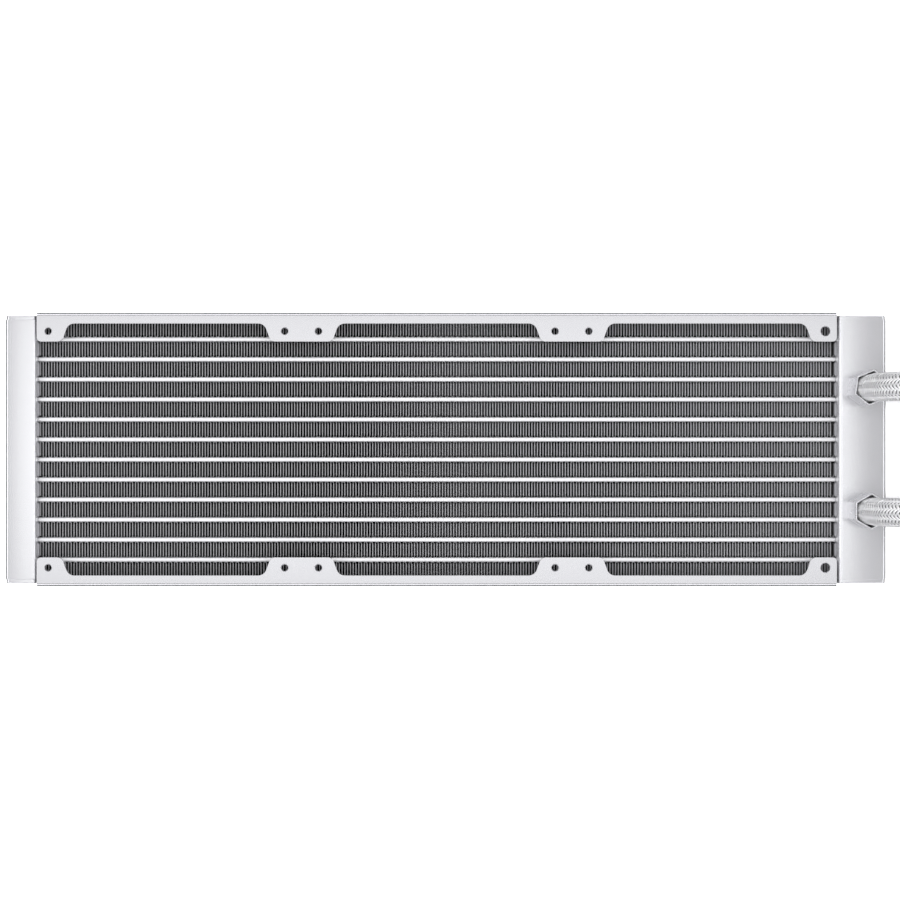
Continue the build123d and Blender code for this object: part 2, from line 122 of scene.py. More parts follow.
# ---- finishes
@dataclass(frozen=True)
class Finish:
    """A surface finish: its colour, how it shines, and how both vary over the surface.

    Lengths are in metres. The mottle is a slow, faint change of colour and roughness, and the grain
    is the fine texture that is felt rather than seen.
    """

    name: str
    colour: Triple
    roughness: float
    metallic: float = 0.0
    mottle: float = 0.04
    mottle_size: float = 9 * MM
    roughness_swing: float = 0.06
    grain_size: float = 0.25 * MM
    grain_depth: float = 0.004 * MM
    grain_stretch: Triple = (1.0, 1.0, 1.0)
    coat: float = 0.0
    coat_roughness: float = 0.15

    def material(self) -> bpy.types.Material:
        """Build the finish's material the first time that it is asked for.

        Returns:
            The material.
        """
        title = f"{self.name}_finish"
        found = bpy.data.materials.get(title)
        if found:
            return found
        made = bpy.data.materials.new(title)
        made.use_nodes = True
        made.diffuse_color = (*self.colour, 1.0)
        wiring = Wiring(made.node_tree)
        shader = made.node_tree.nodes["Principled BSDF"]
        shader.inputs["Metallic"].default_value = self.metallic
        shader.inputs["Coat Weight"].default_value = self.coat
        shader.inputs["Coat Roughness"].default_value = self.coat_roughness
        self.dress(wiring, shader)
        return made

    def dress(self, wiring: Wiring, shader: bpy.types.Node) -> None:
        """Wire the colour, roughness and grain into the shader.

        Args:
            wiring: The material's tree.
            shader: Its Principled BSDF.
        """
        place = wiring.node("ShaderNodeTexCoord").outputs["Object"]
        cloud = self.noise(wiring, place, self.mottle_size, 3.0)
        wiring.feed(shader.inputs["Base Color"], self.varied(wiring, self.colour, cloud, self.mottle))
        wiring.feed(shader.inputs["Roughness"], self.swung_roughness(wiring, cloud))
        stretched = wiring.node("ShaderNodeMapping", {"Vector": place, "Scale": self.grain_stretch})
        grain = self.noise(wiring, stretched.outputs["Vector"], self.grain_size, 2.0)
        self.bump(wiring, shader, grain, self.grain_depth)

    def swung_roughness(self, wiring: Wiring, factor: Socket) -> Socket:
        """Return the roughness, which swings about its own value as the factor goes from 0 to 1."""
        lowest = self.roughness - self.roughness_swing / 2
        return wiring.math("MULTIPLY_ADD", factor, self.roughness_swing, lowest)

    @staticmethod
    def coordinate(wiring: Wiring, axis: str) -> Socket:
        """Return where on one of the object's own axes a point lies."""
        place = wiring.node("ShaderNodeTexCoord").outputs["Object"]
        return wiring.node("ShaderNodeSeparateXYZ", {"Vector": place}).outputs[axis]

    @staticmethod
    def noise(wiring: Wiring, place: Socket, size: float, detail: float) -> Socket:
        """Return noise from 0 to 1 whose spots are about a size across."""
        made = wiring.node("ShaderNodeTexNoise", {"Vector": place, "Scale": 1 / size, "Detail": detail})
        return made.outputs["Fac"]

    @staticmethod
    def varied(wiring: Wiring, colour: Triple, factor: Socket, share: float) -> Socket:
        """Vary a colour from a share darker to a share lighter as a factor goes from 0 to 1.

        Args:
            wiring: The material's tree.
            colour: The colour in the middle.
            factor: The factor.
            share: How much darker and lighter it gets.

        Returns:
            The colour's socket.
        """
        dark = (*(c * (1 - share) for c in colour), 1.0)
        light = (*(min(1.0, c * (1 + share)) for c in colour), 1.0)
        mixed = wiring.node("ShaderNodeMix", data_type="RGBA")
        wiring.feed(mixed.inputs["Factor"], factor)
        # The colour sockets share their names with the sockets of other types, so they go by type.
        colours = [s for s in mixed.inputs if s.type == "RGBA"]
        colours[0].default_value = dark
        colours[1].default_value = light
        return next(s for s in mixed.outputs if s.type == "RGBA")

    @staticmethod
    def bump(wiring: Wiring, shader: bpy.types.Node, height: Socket, depth: float) -> None:
        """Make the shader's surface rise and fall by a depth as the height goes from 0 to 1."""
        made = wiring.node("ShaderNodeBump", {"Strength": 1.0, "Distance": depth, "Height": height})
        wiring.feed(shader.inputs["Normal"], made.outputs["Normal"])


@dataclass(frozen=True)
class StrandFinish(Finish):
    """The finish of braided flat strands, each a bundle of fine wires that lie side by side."""

    wire_count: int = 5
    wire_depth: float = 0.05 * MM
    tone_swing: float = 0.10

    def dress(self, wiring: Wiring, shader: bpy.types.Node) -> None:
        """Wire fine wires across each strand, and a slightly different tone for each strand.

        Args:
            wiring: The material's tree.
            shader: Its Principled BSDF.
        """
        across = wiring.node("ShaderNodeUVMap", uv_map="strand").outputs["UV"]
        v = wiring.node("ShaderNodeSeparateXYZ", {"Vector": across}).outputs["Y"]
        wave = wiring.math("COSINE", wiring.math("MULTIPLY", v, math.tau * self.wire_count))
        tone = wiring.node("ShaderNodeAttribute", attribute_name="tone").outputs["Fac"]
        wiring.feed(shader.inputs["Base Color"], self.varied(wiring, self.colour, tone, self.tone_swing))
        wiring.feed(shader.inputs["Roughness"], self.swung_roughness(wiring, tone))
        self.bump(wiring, shader, wiring.math("MULTIPLY_ADD", wave, 0.5, 0.5), self.wire_depth)


@dataclass(frozen=True)
class CrownedFinish(Finish):
    """The finish of a tank's face, which is pressed very slightly round instead of flat.

    The crown leans away from the core, and a short shoulder at the tank's mouth leans towards it.
    """

    mouth_x: float = 0.0
    outward: int = 1
    crown_radius: float = 0.2
    shoulder_width: float = 2 * MM
    shoulder_slope: float = 0.5

    def crown_height(self, wiring: Wiring) -> Socket:
        """Wire the crowned face's height above a flat one.

        Args:
            wiring: The material's tree.

        Returns:
            The height's socket, in metres.
        """
        from_mouth = wiring.math("SUBTRACT", self.coordinate(wiring, "X"), self.mouth_x)
        run = wiring.math("MULTIPLY", from_mouth, self.outward)
        crown = wiring.math("DIVIDE", wiring.math("MULTIPLY", run, run), -2 * self.crown_radius)
        left = wiring.math("MAXIMUM", wiring.math("SUBTRACT", self.shoulder_width, run), 0.0)
        fall = self.shoulder_slope / (2 * self.shoulder_width)
        shoulder = wiring.math("MULTIPLY", wiring.math("MULTIPLY", left, left), fall)
        return wiring.math("SUBTRACT", crown, shoulder)

    def dress(self, wiring: Wiring, shader: bpy.types.Node) -> None:
        """Wire the plain finish, and put the crown under its grain.

        Args:
            wiring: The material's tree.
            shader: Its Principled BSDF.
        """
        super().dress(wiring, shader)
        crown = wiring.node("ShaderNodeBump", {"Strength": 1.0, "Distance": 1.0})
        wiring.feed(crown.inputs["Height"], self.crown_height(wiring))
        grain = shader.inputs["Normal"].links[0].from_node
        wiring.feed(grain.inputs["Normal"], crown.outputs["Normal"])


@dataclass(frozen=True)
class PaintedDepthShadeFinish(Finish):
    """The finish of a thick row of fins, with painted shade that grows dark between its two open faces.
    """

    middle_z: float = 0.0
    bright_from: float = 7.6 * MM
    dark_from: float = 7.35 * MM
    painted_shade_darkest: float = 0.02
    full_specular: float = 0.5

    def dress(self, wiring: Wiring, shader: bpy.types.Node) -> None:
        """Wire the plain finish, and paint shade into it: darken its colour and its shine with depth.

        Args:
            wiring: The material's tree.
            shader: Its Principled BSDF.
        """
        super().dress(wiring, shader)
        # Painted shade: the colour and the specular level fall from full at the open faces to a small
        # share in the middle.
        above = wiring.math("SUBTRACT", self.coordinate(wiring, "Z"), self.middle_z)
        off = wiring.math("ABSOLUTE", above)
        share = wiring.node(
            "ShaderNodeMapRange",
            {
                "Value": off, "From Min": self.dark_from, "From Max": self.bright_from,
                "To Min": self.painted_shade_darkest, "To Max": 1.0,
            },
        ).outputs["Result"]
        colour = shader.inputs["Base Color"].links[0].from_socket
        wiring.feed(shader.inputs["Base Color"], wiring.scaled(colour, share))
        shine = wiring.math("MULTIPLY", share, self.full_specular)
        wiring.feed(shader.inputs["Specular IOR Level"], shine)


def middle(node: str) -> Vector:
    """Return the middle of a CAD node's box."""
    low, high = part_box(node)
    return (low + high) / 2


SATIN_PAINT = Finish(
    "satin_silver_paint", (0.72, 0.72, 0.74), 0.24, metallic=0.75, mottle=0.015, mottle_size=14 * MM,
    roughness_swing=0.03, grain_size=0.35 * MM, grain_depth=0.0025 * MM,
)
FERRULE_PLATING = Finish(
    "ferrule_plating", (0.78, 0.78, 0.80), 0.28, metallic=0.8, mottle=0.03, mottle_size=3 * MM,
    grain_size=0.12 * MM, grain_depth=0.002 * MM,
)
# The tanks wear the same silver paint as the side frames, but these copies are painted lighter (0.84
# against 0.72): painted light on both tanks.
PORT_TANK_PAINT = CrownedFinish(
    "satin_silver_paint_port_tank", (0.84, 0.84, 0.86), 0.24, metallic=0.75, mottle=0.015,
    mottle_size=14 * MM, roughness_swing=0.03, grain_size=0.35 * MM, grain_depth=0.0025 * MM,
    mouth_x=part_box("port_tank")[0].x, outward=1, crown_radius=0.20, shoulder_width=2.6 * MM,
    shoulder_slope=0.6,
)
RETURN_TANK_PAINT = replace(
    PORT_TANK_PAINT, name="satin_silver_paint_return_tank", mouth_x=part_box("return_tank")[1].x,
    outward=-1, crown_radius=0.18, shoulder_width=1.9 * MM,
)
TUBE_ALUMINIUM = Finish(
    "rolled_aluminium", (0.95, 0.95, 0.96), 0.45, metallic=0.2, mottle=0.05, mottle_size=6 * MM,
    grain_size=0.12 * MM, grain_depth=0.003 * MM, grain_stretch=(0.04, 1.0, 1.0),
)
# The fins' colour and shine carry painted shade that darkens them between the core's two faces.
FIN_ALUMINIUM = PaintedDepthShadeFinish(
    "fin_aluminium", (0.60, 0.60, 0.615), 0.5, metallic=0.15, mottle=0.06, mottle_size=5 * MM,
    grain_size=0.08 * MM, grain_depth=0.002 * MM, middle_z=middle("fin_strip_01").z,
)
BRAZED_ALUMINIUM = Finish(
    "brazed_aluminium", (0.45, 0.45, 0.47), 0.5, metallic=0.7, mottle=0.09, mottle_size=2.5 * MM,
    roughness_swing=0.12, grain_size=0.2 * MM, grain_depth=0.008 * MM,
)
BRAID_STRANDS = StrandFinish(
    "silver_braid", (0.96, 0.96, 0.98), 0.24, metallic=0.35, roughness_swing=0.08, coat=0.3,
)
HOSE_CORE = Finish(
    "hose_core_rubber", (0.03, 0.03, 0.032), 0.7, mottle=0.2, mottle_size=2 * MM,
    grain_size=0.2 * MM, grain_depth=0.01 * MM,
)
SEAL_RUBBER = Finish(
    "seal_rubber", (0.018, 0.018, 0.02), 0.5, mottle=0.2, mottle_size=1 * MM,
    grain_size=0.15 * MM, grain_depth=0.005 * MM,
)
FITTING_PLASTIC = Finish(
    "moulded_black_plastic", (0.03, 0.03, 0.033), 0.38, mottle=0.12, mottle_size=4 * MM,
    grain_size=0.3 * MM, grain_depth=0.006 * MM,
)
FLOOR_PAPER = Finish("floor_paper", (0.90, 0.90, 0.90), 0.9, mottle=0.0, grain_depth=0.0)


# ---- pieces
def put_in_scene(name: str, data: bpy.types.ID) -> bpy.types.Object:
    """Make an object of a mesh, curve, light or camera, and put it in the scene.

    Args:
        name: The object's name.
        data: What it shows.

    Returns:
        The new object.
    """
    made = bpy.data.objects.new(name, data)
    bpy.context.scene.collection.objects.link(made)
    return made


def finished_mesh(name: str, shape: bmesh.types.BMesh, finish: Finish) -> bpy.types.Mesh:
    """Turn a shape under construction into a mesh with a finish.

    Args:
        name: The mesh's name.
        shape: The shape, which is used up.
        finish: Its finish.

    Returns:
        The mesh.
    """
    mesh = bpy.data.meshes.new(name)
    shape.to_mesh(mesh)
    shape.free()
    mesh.materials.append(finish.material())
    return mesh


def dress_node(node: str, finish: Finish) -> None:
    """Give a CAD node a finish.

    Args:
        node: The node's name.
        finish: Its finish.
    """
    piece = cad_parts[node]
    piece.data.materials.clear()
    piece.data.materials.append(finish.material())


def add_piece(
    name: str, mesh: bpy.types.Mesh, replaced: tuple[str, ...]
) -> bpy.types.Object:
    """Put a finished mesh in the scene as a piece of the radiator.

    Args:
        name: The piece's name.
        mesh: Its mesh, in the radiator's frame, with its materials.
        replaced: The CAD nodes that it stands for.

    Returns:
        The new object.
    """
    piece = put_in_scene(name, mesh)
    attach(piece, ROOT_BODY)
    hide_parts(*replaced)
    return piece


def evaluated_mesh(source: bpy.types.Object) -> bpy.types.Mesh:
    """Apply an object's modifiers to a copy of its mesh.

    Args:
        source: The object, which may also be a curve.

    Returns:
        The new mesh.
    """
    bpy.context.view_layer.update()
    graph = bpy.context.evaluated_depsgraph_get()
    return bpy.data.meshes.new_from_object(source.evaluated_get(graph), depsgraph=graph)


def grown_mesh(name: str, tree: bpy.types.NodeTree, values: dict[str, object]) -> bpy.types.Mesh:
    """Take the plain mesh that a Geometry Nodes tree makes.

    Args:
        name: The name of the holder that the tree runs on.
        tree: The tree.
        values: Its inputs' values by name. Each is set by its socket's identifier.

    Returns:
        The mesh.
    """
    holder = put_in_scene(name, bpy.data.meshes.new(name))
    modifier = holder.modifiers.new(tree.name, "NODES")
    modifier.node_group = tree
    for item in tree.interface.items_tree:
        if item.item_type == "SOCKET" and item.in_out == "INPUT" and item.name in values:
            modifier[item.identifier] = values[item.name]
    mesh = evaluated_mesh(holder)
    bpy.data.objects.remove(holder)
    return mesh


@dataclass
class SoftenedPart:
    """A sheet or turned part whose sharp CAD edges are rounded, so that they catch the light."""

    node: str
    slot: str
    finish: Finish
    edge_radius: float
    segments: int = 2
    weld_distance: float = 0.002 * MM
    flat_angle: float = 0.4
    sharp_angle: float = 35.0

    def build(self) -> None:
        """Build the rounded copy, which stands for its CAD node."""
        name = f"{self.node}_finished"
        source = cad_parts[self.node].data
        shape = bmesh.new()
        for vertex in source.vertices:
            shape.verts.new(vertex.co)
        shape.verts.ensure_lookup_table()
        for face in source.polygons:
            shape.faces.new([shape.verts[i] for i in face.vertices])
        bmesh.ops.remove_doubles(shape, verts=shape.verts, dist=self.weld_distance)
        bmesh.ops.dissolve_limit(
            shape, angle_limit=math.radians(self.flat_angle), verts=shape.verts, edges=shape.edges
        )
        sharp = [e for e in shape.edges if self.is_sharp(e)]
        bmesh.ops.bevel(
            shape, geom=sharp, offset=self.edge_radius, offset_type="OFFSET", segments=self.segments,
            profile=0.5, affect="EDGES", clamp_overlap=True,
        )
        for face in shape.faces:
            face.smooth = True
        mesh = finished_mesh(name, shape, self.finish)
        mesh.set_sharp_from_angle(angle=math.radians(self.sharp_angle))
        add_piece(name, self.weighted(mesh), (self.node,))

    def is_sharp(self, edge: bmesh.types.BMEdge) -> bool:
        """Say whether an edge is sharper than the sides of a rounded corner."""
        return len(edge.link_faces) == 2 and edge.calc_face_angle(0.0) > math.radians(self.sharp_angle)

    @staticmethod
    def weighted(mesh: bpy.types.Mesh) -> bpy.types.Mesh:
        """Give a mesh normals that keep its large faces flat.

        Args:
            mesh: The mesh.

        Returns:
            A copy with those normals.
        """
        holder = put_in_scene("normals_holder", mesh)
        modifier = holder.modifiers.new("weighted_normals", "WEIGHTED_NORMAL")
        modifier.keep_sharp = True
        finished = evaluated_mesh(holder)
        bpy.data.objects.remove(holder)
        return finished


# ---- hoses
@dataclass
class BraidTile:
    """One visible float of a braid's strand, laid out flat: X along the hose, Y round it, Z outwards."""

    column_width: float
    row_pitch: float
    strand_width: float
    crown: float
    dip: float
    overlap: float
    leaning: int
    rows: int = 6
    columns: int = 4
    end_taper: float = 0.25
    arch_power: float = 0.6
    edge_drop: float = 0.9

    def build(self) -> bpy.types.Object:
        """Build the float, with the strand's own UV map.

        Returns:
            The float as a mesh object.
        """
        run = Vector((self.row_pitch, self.leaning * self.column_width, 0.0))
        along = run.normalized()
        across = Vector((-along.y, along.x, 0.0)) * self.leaning
        reach = run.length / 2 + self.overlap
        shape = bmesh.new()
        uv = shape.loops.layers.uv.new("strand")
        grid = []
        for i in range(self.rows + 1):
            a = 2 * i / self.rows - 1
            line = []
            for j in range(self.columns + 1):
                b = 2 * j / self.columns - 1
                width = self.strand_width / 2 * (1 - self.end_taper * a**4)
                height = (self.crown + self.dip) * (1 - a * a) ** self.arch_power - self.dip
                height -= (self.crown * self.edge_drop) * b * b
                point = along * (a * reach) + across * (b * width) + Vector((0, 0, height))
                line.append((shape.verts.new(point), (i / self.rows, j / self.columns)))
            grid.append(line)
        for i in range(self.rows):
            for j in range(self.columns):
                corners = [grid[i][j], grid[i + 1][j], grid[i + 1][j + 1], grid[i][j + 1]]
                if self.leaning < 0:
                    corners.reverse()
                face = shape.faces.new([vertex for vertex, _ in corners])
                face.smooth = True
                for loop, (_, place) in zip(face.loops, corners):
                    loop[uv].uv = place
        return put_in_scene("braid_tile", finished_mesh("braid_tile", shape, BRAID_STRANDS))


@dataclass
class BraidedHose:
    """A rubber hose in a braided silver sleeve, from a port's ferrule to its pump fitting.

    The route repeats the CAD tube's own points: from the port's axis along X, across Y, and the
    height over the bench, in millimetres.
    """

    side: Side
    route: list[Triple]
    length: float
    outer_radius: float = 6.2 * MM
    crimped_radius: float = 5.95 * MM
    crimp_end: float = 9.0 * MM
    crimp_release: float = 5.0 * MM
    column_count: int = 16
    row_pitch: float = 2.25 * MM
    crown: float = 0.30 * MM
    dip: float = 0.30 * MM
    strand_share: float = 0.76
    braid_turn: float = 11.25
    core_gap: float = 0.55 * MM
    core_sides: int = 28
    path_steps: int = 48
    overlap_share: float = 0.22

    def build(self) -> bpy.types.Object:
        """Returns:
            The hose.
        """
        curve = self.centreline()
        points = self.follow(curve)
        travel = sum((b - a).length for a, b in zip(points, points[1:]))
        sleeve = self.sleeve(curve, travel)
        bpy.data.objects.remove(curve)
        name = self.side.value
        replaced = (f"hose_sleeve_{name}", f"hose_liner_{name}")
        piece = add_piece(f"braided_hose_{name}", sleeve, replaced)
        return piece

    def port_axis(self) -> Vector:
        """Return where the port's axis meets the bench."""
        axis = middle(f"port_nipple_{self.side.value}")
        return Vector((axis.x, axis.y, 0.0))

    def centreline(self) -> bpy.types.Object:
        """Build the hose's centreline, a smooth curve with the route's points as its control points.

        Returns:
            The centreline as a curve object.
        """
        curve = bpy.data.curves.new(f"centreline_{self.side.value}", "CURVE")
        curve.dimensions = "3D"
        curve.twist_mode = "MINIMUM"
        curve.resolution_u = self.path_steps
        spline = curve.splines.new("NURBS")
        spline.points.add(len(self.route) - 1)
        for point, place in zip(spline.points, self.route):
            point.co = (*(self.port_axis() + Vector(place) * MM), 1.0)
        spline.order_u = 3
        spline.use_endpoint_u = True
        return put_in_scene(curve.name, curve)

    @staticmethod
    def follow(curve: bpy.types.Object) -> list[Vector]:
        """Return points read along a centreline, close enough together to have its length."""
        return [v.co.copy() for v in evaluated_mesh(curve).vertices]

    def sleeve(self, curve: bpy.types.Object, travel: float) -> bpy.types.Mesh:
        """Wrap the braid and its core round the centreline.

        Args:
            curve: The centreline.
            travel: The centreline's length.

        Returns:
            The finished mesh.
        """
        column_width = math.tau * self.outer_radius / self.column_count
        run = math.hypot(self.row_pitch, column_width)
        strand_width = self.row_pitch * column_width / run * self.strand_share
        sizes = (column_width, self.row_pitch, strand_width, self.crown, self.dip)
        tiles = [BraidTile(*sizes, self.overlap_share * run, lean).build() for lean in (1, -1)]
        values = {
            "Centreline": curve,
            "Rising Tile": tiles[0],
            "Falling Tile": tiles[1],
            "Rows": int(travel / self.row_pitch) - 1,
            "Row Pitch": self.row_pitch,
            "Columns": self.column_count,
            "Column Width": column_width,
            "Radius": self.outer_radius - self.crown,
            "Crimp": self.outer_radius - self.crimped_radius,
            "Crimp End": self.crimp_end,
            "Crimp Release": self.crimp_release,
            "Hose Length": travel,
            "Turn": math.radians(self.braid_turn),
            "Core Radius": self.crimped_radius - self.core_gap,
            "Core Sides": self.core_sides,
            "Strand Material": BRAID_STRANDS.material(),
            "Core Material": HOSE_CORE.material(),
        }
        mesh = grown_mesh("sleeve_holder", BraidTree().build(), values)
        for tile in tiles:
            bpy.data.objects.remove(tile)
        return mesh


class GeometryTree:
    """A Geometry Nodes tree, with named inputs for its sizes."""

    name: ClassVar[str] = "geometry"
    inputs: ClassVar[dict[str, str]] = {}

    def build(self) -> bpy.types.NodeTree:
        """Build the tree the first time that it is asked for.

        Returns:
            The tree.
        """
        found = bpy.data.node_groups.get(self.name)
        if found:
            return found
        tree = bpy.data.node_groups.new(self.name, "GeometryNodeTree")
        for label, kind in self.inputs.items():
            tree.interface.new_socket(label, in_out="INPUT", socket_type=f"NodeSocket{kind}")
        tree.interface.new_socket("Geometry", in_out="OUTPUT", socket_type="NodeSocketGeometry")
        wiring = Wiring(tree)
        given = wiring.node("NodeGroupInput").outputs
        wiring.node("NodeGroupOutput", {"Geometry": self.shape(wiring, given)})
        return tree

    def shape(self, wiring: Wiring, given: Inputs) -> Socket:
        """Wire the nodes that make the geometry, and return its socket."""
        raise NotImplementedError

    @staticmethod
    def object_geometry(wiring: Wiring, source: Socket) -> Socket:
        """Return the geometry of an object socket."""
        made = wiring.node("GeometryNodeObjectInfo", {"Object": source}, transform_space="ORIGINAL")
        return made.outputs["Geometry"]


class BraidTree(GeometryTree):
    """Lays a braid's floats out flat in rows and columns, and wraps them round a centreline."""

    name = "braid"
    inputs = {
        "Centreline": "Object", "Rising Tile": "Object", "Falling Tile": "Object", "Rows": "Int",
        "Row Pitch": "Float", "Columns": "Int", "Column Width": "Float", "Radius": "Float",
        "Crimp": "Float", "Crimp End": "Float", "Crimp Release": "Float", "Hose Length": "Float",
        "Turn": "Float", "Core Radius": "Float", "Core Sides": "Int", "Strand Material": "Material",
        "Core Material": "Material",
    }
    seed: ClassVar[int] = 7
    path_points: ClassVar[int] = 900
    core_point_share: ClassVar[int] = 4
    first_row: ClassVar[float] = 0.75
    column_stagger: ClassVar[float] = 0.5
    parity_margin: ClassVar[float] = 0.1

    def shape(self, wiring: Wiring, given: Inputs) -> Socket:
        """Wire the floats, the wrap and the core.

        Args:
            wiring: The tree.
            given: The tree's inputs, by name.

        Returns:
            The geometry's socket.
        """
        path = wiring.node(
            "GeometryNodeResampleCurve",
            {"Curve": self.object_geometry(wiring, given["Centreline"]), "Count": self.path_points},
        ).outputs["Curve"]
        floats = self.floats(wiring, given)
        wrapped = self.wrap(wiring, given, floats, path)
        strands = wiring.node(
            "GeometryNodeSetMaterial", {"Geometry": wrapped, "Material": given["Strand Material"]}
        )
        ring = wiring.node(
            "GeometryNodeCurvePrimitiveCircle",
            {"Resolution": given["Core Sides"], "Radius": given["Core Radius"]},
        )
        core_points = self.path_points // self.core_point_share
        thinned = wiring.node("GeometryNodeResampleCurve", {"Curve": path, "Count": core_points})
        core = wiring.node(
            "GeometryNodeCurveToMesh",
            {"Curve": thinned.outputs[0], "Profile Curve": ring.outputs["Curve"], "Fill Caps": True},
        ).outputs["Mesh"]
        dressed = wiring.node(
            "GeometryNodeSetMaterial", {"Geometry": core, "Material": given["Core Material"]}
        )
        joined = wiring.node("GeometryNodeJoinGeometry")
        for part in (strands, dressed):
            wiring.feed(joined.inputs["Geometry"], part.outputs["Geometry"])
        return joined.outputs["Geometry"]

    def floats(self, wiring: Wiring, given: Inputs) -> Socket:
        """Lay the floats out flat: leaning one way in even columns, and the other way in odd ones.

        Args:
            wiring: The tree.
            given: The tree's inputs, by name.

        Returns:
            The geometry's socket.
        """
        index = wiring.node("GeometryNodeInputIndex").outputs["Index"]
        column = wiring.math("FLOORED_MODULO", index, given["Columns"])
        row = wiring.math("FLOOR", wiring.math("DIVIDE", index, given["Columns"]))
        parity = wiring.math("FLOORED_MODULO", column, 2.0)
        stagger = wiring.math("MULTIPLY_ADD", parity, self.column_stagger, self.first_row)
        x = wiring.math("MULTIPLY", wiring.math("ADD", row, stagger), given["Row Pitch"])
        y = wiring.math("MULTIPLY", column, given["Column Width"])
        place = wiring.node("ShaderNodeCombineXYZ", {"X": x, "Y": y})
        count = wiring.math("MULTIPLY", given["Rows"], given["Columns"])
        points = wiring.node("GeometryNodePoints", {"Count": count, "Position": place.outputs["Vector"]})
        tone = wiring.node("FunctionNodeRandomValue", {"Seed": self.seed}, data_type="FLOAT")
        toned = wiring.node("GeometryNodeStoreNamedAttribute", data_type="FLOAT", domain="POINT")
        wiring.feed(toned.inputs["Geometry"], points.outputs["Geometry"])
        toned.inputs["Name"].default_value = "tone"
        tone_input = next(s for s in toned.inputs if s.name == "Value" and s.type == "VALUE")
        wiring.feed(tone_input, next(s for s in tone.outputs if s.type == "VALUE"))
        joined = wiring.node("GeometryNodeJoinGeometry")
        for label, wanted in (("Rising Tile", 0.0), ("Falling Tile", 1.0)):
            chosen = wiring.node("FunctionNodeCompare", data_type="FLOAT", operation="EQUAL")
            wiring.feed(chosen.inputs["A"], parity)
            chosen.inputs["B"].default_value = wanted
            chosen.inputs["Epsilon"].default_value = self.parity_margin
            laid = wiring.node(
                "GeometryNodeInstanceOnPoints",
                {
                    "Points": toned.outputs["Geometry"],
                    "Selection": chosen.outputs["Result"],
                    "Instance": self.object_geometry(wiring, given[label]),
                },
            )
            wiring.feed(joined.inputs["Geometry"], laid.outputs["Instances"])
        return wiring.node(
            "GeometryNodeRealizeInstances", {"Geometry": joined.outputs["Geometry"]}
        ).outputs["Geometry"]

    def wrap(self, wiring: Wiring, given: Inputs, floats: Socket, path: Socket) -> Socket:
        """Wrap flat floats round the path, a little tighter where the ferrules hold the hose.

        Args:
            wiring: The tree.
            given: The tree's inputs, by name.
            floats: The flat floats.
            path: The path.

        Returns:
            The wrapped geometry's socket.
        """
        place = wiring.node("GeometryNodeInputPosition").outputs["Position"]
        flat = wiring.node("ShaderNodeSeparateXYZ", {"Vector": place}).outputs
        on_path = wiring.node("GeometryNodeSampleCurve", mode="LENGTH")
        wiring.feed(on_path.inputs["Curves"], path)
        wiring.feed(on_path.inputs["Length"], flat["X"])
        to_end = wiring.math("SUBTRACT", given["Hose Length"], flat["X"])
        nearest = wiring.math("MINIMUM", flat["X"], to_end)
        released = wiring.node(
            "ShaderNodeMapRange",
            {
                "Value": nearest,
                "From Min": given["Crimp End"],
                "From Max": wiring.math("ADD", given["Crimp End"], given["Crimp Release"]),
                "To Min": given["Crimp"],
                "To Max": 0.0,
            },
            interpolation_type="SMOOTHSTEP",
        ).outputs["Result"]
        radius = wiring.math("SUBTRACT", wiring.math("ADD", given["Radius"], flat["Z"]), released)
        circumference = wiring.math("MULTIPLY", given["Column Width"], given["Columns"])
        share = wiring.math("DIVIDE", flat["Y"], circumference)
        turn = wiring.math("MULTIPLY_ADD", share, math.tau, given["Turn"])
        normal = on_path.outputs["Normal"]
        binormal = wiring.vector_math("CROSS_PRODUCT", on_path.outputs["Tangent"], normal)
        outward = wiring.vector_math(
            "ADD",
            wiring.scaled(normal, wiring.math("MULTIPLY", wiring.math("COSINE", turn), radius)),
            wiring.scaled(binormal, wiring.math("MULTIPLY", wiring.math("SINE", turn), radius)),
        )
        wrapped = wiring.vector_math("ADD", on_path.outputs["Position"], outward)
        return wiring.node(
            "GeometryNodeSetPosition", {"Geometry": floats, "Position": wrapped}
        ).outputs["Geometry"]


# ---- core
class RowTree(GeometryTree):
    """Repeats a tile along X, with every other one turned half a turn about X."""

    name = "folded_row"
    inputs = {
        "Tile": "Object", "Count": "Int", "Pitch": "Float", "Start": "Vector", "Material": "Material",
    }

    def shape(self, wiring: Wiring, given: Inputs) -> Socket:
        """Wire the row of tiles.

        Args:
            wiring: The tree.
            given: The tree's inputs, by name.

        Returns:
            The geometry's socket.
        """
        index = wiring.node("GeometryNodeInputIndex").outputs["Index"]
        step = wiring.node("ShaderNodeCombineXYZ", {"X": wiring.math("MULTIPLY", index, given["Pitch"])})
        place = wiring.vector_math("ADD", given["Start"], step.outputs["Vector"])
        points = wiring.node("GeometryNodePoints", {"Count": given["Count"], "Position": place})
        parity = wiring.math("FLOORED_MODULO", index, 2.0)
        turn = wiring.node("ShaderNodeCombineXYZ", {"X": wiring.math("MULTIPLY", parity, math.pi)})
        rotation = wiring.node("FunctionNodeEulerToRotation", {"Euler": turn.outputs["Vector"]})
        laid = wiring.node(
            "GeometryNodeInstanceOnPoints",
            {
                "Points": points.outputs["Geometry"],
                "Instance": self.object_geometry(wiring, given["Tile"]),
                "Rotation": rotation.outputs["Rotation"],
            },
        )
        real = wiring.node("GeometryNodeRealizeInstances", {"Geometry": laid.outputs["Instances"]})
        return wiring.node(
            "GeometryNodeSetMaterial",
            {"Geometry": real.outputs["Geometry"], "Material": given["Material"]},
        ).outputs["Geometry"]


